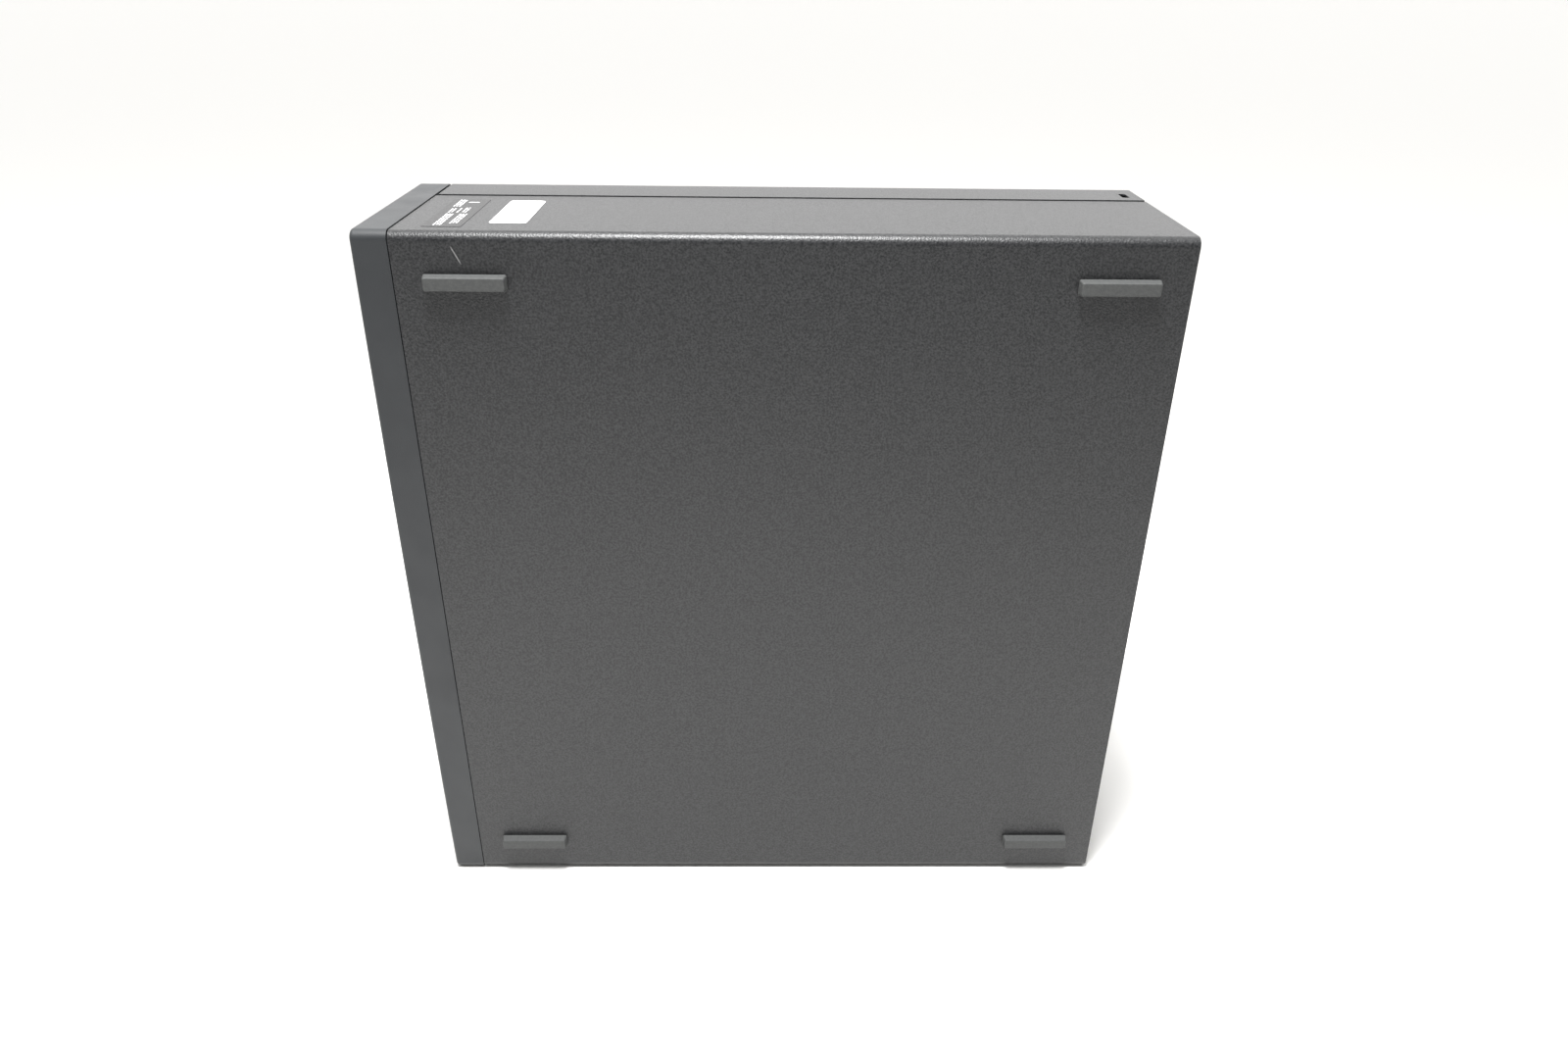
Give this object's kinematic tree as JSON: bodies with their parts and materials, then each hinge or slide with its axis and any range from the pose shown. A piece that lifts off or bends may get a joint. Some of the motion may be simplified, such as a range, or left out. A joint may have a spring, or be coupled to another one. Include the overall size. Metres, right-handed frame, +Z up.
{
  "type": "desktop computer tower",
  "caption": "Small-form-factor desktop computer standing on its side, with lift-off cover, front bezel, disc tray, buttons, fans and the parts inside.",
  "frame": {"origin": "middle of the base, on the surface that the machine stands on", "axes": "+Z up as it stands, -Y towards the front bezel, +X towards the pan with the four rubber pads, -X towards the lift-off cover"},
  "size_m": [0.0926, 0.3012, 0.29],
  "materials": {
    "case_paint": "fine-textured black powder coat, semi-gloss",
    "bezel_plastic": "fine moulded texture, black",
    "button_plastic": "smooth black",
    "pad_rubber": "matt grey",
    "zinc_steel": "zinc plated sheet",
    "cast_aluminium": "satin",
    "port_shell": "nickel plated",
    "circuit_board": "green solder mask over glass fibre",
    "connector_plastic": "black moulded",
    "fan_plastic": "black moulded",
    "caddy_plastic": "blue moulded",
    "light_pipe": "frosted",
    "cell_steel": "bright",
    "cable_black": "matt jacket",
    "cable_grey": "matt jacket"
  },
  "bodies": {
    "chassis": {"card_slot_1": "connector_plastic", "card_slot_2": "connector_plastic", "chassis_front": "zinc_steel", "chassis_pan": "case_paint", "coin_cell": "cell_steel", "cpu_fan_frame": "fan_plastic", "cpu_socket": "cast_aluminium", "disk_cable": "cable_black", "disk_caddy": "caddy_plastic", "display_socket_1": "port_shell", "display_socket_2": "port_shell", "drive_cage": "zinc_steel", "fan_cable": "cable_grey", "foot_pad_1": "pad_rubber", "foot_pad_2": "pad_rubber", "foot_pad_3": "pad_rubber", "foot_pad_4": "pad_rubber", "front_audio_jack": "connector_plastic", "front_io_board": "circuit_board", "front_io_cable": "cable_grey", "front_usb_1": "port_shell", "front_usb_2": "port_shell", "front_usb_3": "port_shell", "front_usb_4": "port_shell", "hard_disk": "cast_aluminium", "heatsink": "cast_aluminium", "io_shield": "zinc_steel", "memory_module_1": "circuit_board", "memory_module_2": "circuit_board", "memory_slot_1": "connector_plastic", "memory_slot_2": "connector_plastic", "motherboard": "circuit_board", "network_socket": "port_shell", "optical_drive": "zinc_steel", "padlock_loop": "zinc_steel", "power_harness": "cable_black", "power_inlet": "connector_plastic", "psu_board": "circuit_board", "psu_fan_frame": "fan_plastic", "psu_housing": "zinc_steel", "psu_lid": "zinc_steel", "rear_audio_jack": "connector_plastic", "rear_usb_1": "port_shell", "rear_usb_2": "port_shell", "slot_blank_1": "zinc_steel", "slot_blank_2": "zinc_steel", "speaker": "connector_plastic"},
    "cover": {"access_cover": "case_paint", "latch_dish": "connector_plastic"},
    "cover_slider": {"cover_latch": "connector_plastic"},
    "bezel": {"front_bezel": "bezel_plastic", "power_light": "light_pipe"},
    "button": {"power_button": "button_plastic"},
    "tray": {"optical_tray": "bezel_plastic"},
    "eject": {"eject_button": "bezel_plastic"},
    "cpu_fan": {"cpu_fan_rotor": "fan_plastic"},
    "psu_fan": {"psu_fan_rotor": "fan_plastic"},
    "card_flap": {"card_latch": "zinc_steel"},
    "memory_lever_1": {"memory_latch_1": "connector_plastic"},
    "memory_lever_2": {"memory_latch_2": "connector_plastic"}
  },
  "joints": [
    {"name": "cover_lift", "type": "slide", "parent": "chassis", "child": "cover", "axis": [-1, 0, 0], "range_m": [0, 0.06]},
    {"name": "cover_latch_slide", "type": "slide", "parent": "cover", "child": "cover_slider", "axis": [0, 1, 0], "range_m": [0, 0.0035], "stiffness_N_per_m": 300},
    {"name": "bezel_pull", "type": "slide", "parent": "chassis", "child": "bezel", "axis": [0, -1, 0], "range_m": [0, 0.03]},
    {"name": "power_button_press", "type": "slide", "parent": "bezel", "child": "button", "axis": [0, 1, 0], "range_m": [0, 0.0015], "stiffness_N_per_m": 600},
    {"name": "tray_slide", "type": "slide", "parent": "chassis", "child": "tray", "axis": [0, -1, 0], "range_m": [0, 0.11]},
    {"name": "eject_press", "type": "slide", "parent": "tray", "child": "eject", "axis": [0, 1, 0], "range_m": [0, 0.0008], "stiffness_N_per_m": 500},
    {"name": "cpu_fan_spin", "type": "hinge", "parent": "chassis", "child": "cpu_fan", "pos_m": [-0.01395, 0.064, 0.1219], "axis": [1, 0, 0], "continuous": true},
    {"name": "psu_fan_spin", "type": "hinge", "parent": "chassis", "child": "psu_fan", "pos_m": [0.00165, -0.0156, 0.0354], "axis": [0, 1, 0], "continuous": true},
    {"name": "card_latch_hinge", "type": "hinge", "parent": "chassis", "child": "card_flap", "pos_m": [-0.02405, 0.1444, 0.25724], "axis": [0, 0, -1], "range_deg": [0, 100]},
    {"name": "memory_latch_hinge_1", "type": "hinge", "parent": "chassis", "child": "memory_lever_1", "pos_m": [0.03055, -0.025, 0.22795], "axis": [0, 1, 0], "range_deg": [0, 25]},
    {"name": "memory_latch_hinge_2", "type": "hinge", "parent": "chassis", "child": "memory_lever_2", "pos_m": [0.03055, -0.0155, 0.22795], "axis": [0, 1, 0], "range_deg": [0, 25]}
  ]
}
